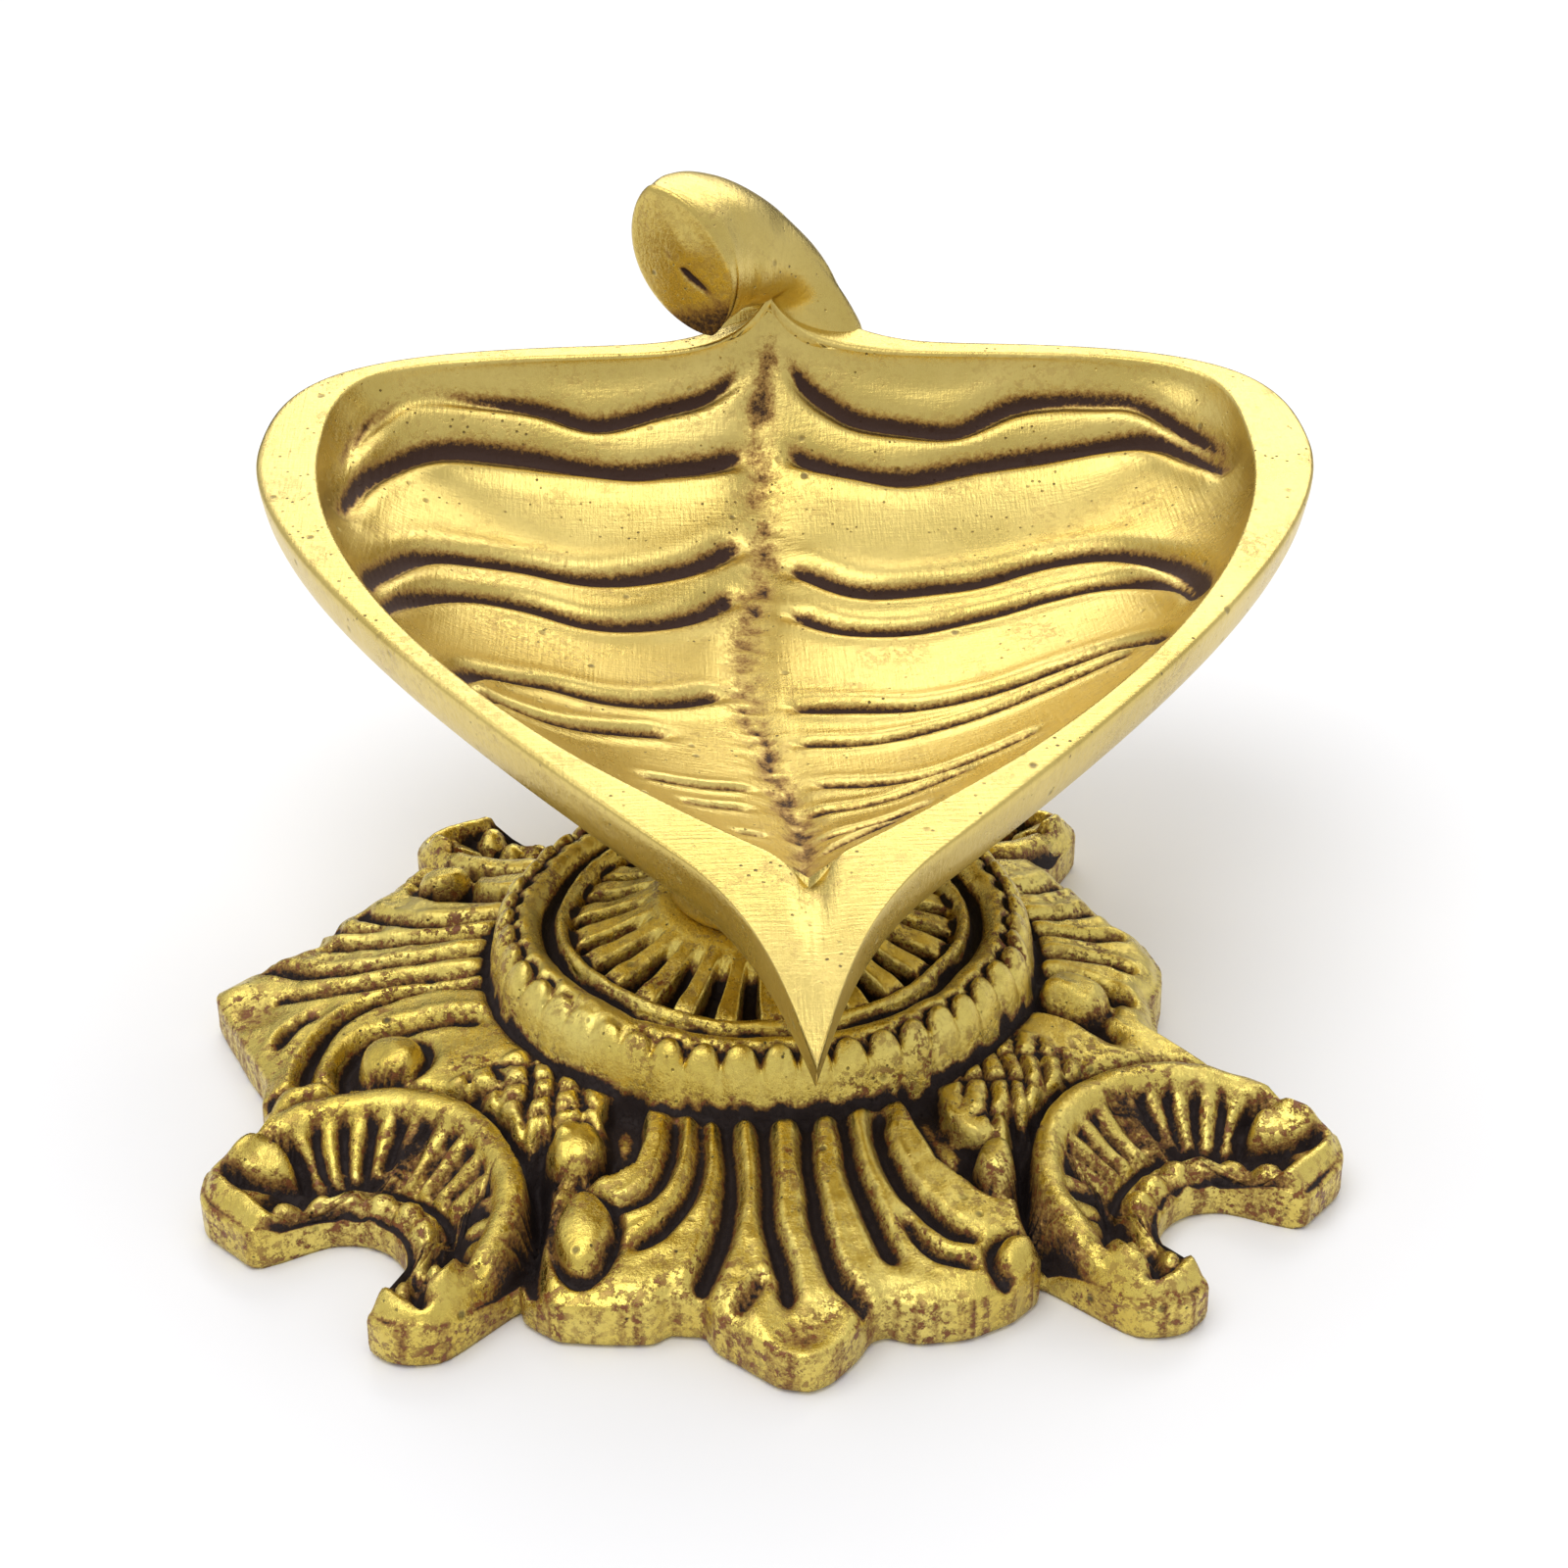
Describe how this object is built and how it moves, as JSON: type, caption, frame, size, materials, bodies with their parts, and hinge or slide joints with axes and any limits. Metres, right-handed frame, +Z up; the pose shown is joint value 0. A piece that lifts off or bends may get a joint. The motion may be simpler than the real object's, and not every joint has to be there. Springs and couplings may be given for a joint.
{
  "type": "diya oil lamp",
  "caption": "Cast brass leaf-shaped oil lamp: a tilted leaf basin with a curled stem handle, screwed to a hollow ornamental base with crescent and palmette edges.",
  "frame": {"origin": "middle of the lamp's outline on the plane it stands on", "axes": "+Z up; the pouring tip of the leaf points to -Y and the stem is at +Y; +X is to the right seen from the tip"},
  "size_m": [0.0828, 0.0886, 0.05],
  "materials": {
    "antique_brass": "antiqued cast brass, dark brown patina in the recesses, filed edges",
    "polished_brass": "buffed pale gold with fine pits, patina in the vein grooves",
    "zinc_steel": "dull zinc plate"
  },
  "bodies": {
    "stand": {"base": "antique_brass"},
    "bowl": {"leaf_bowl": "polished_brass", "clamp_screw": "zinc_steel", "washer": "zinc_steel"}
  },
  "joints": [
    {"name": "bowl_swivel", "type": "hinge", "parent": "stand", "child": "bowl", "pos_m": [-0.0019, -0.0063, 0.0115], "axis": [0, 0, 1], "continuous": true}
  ]
}
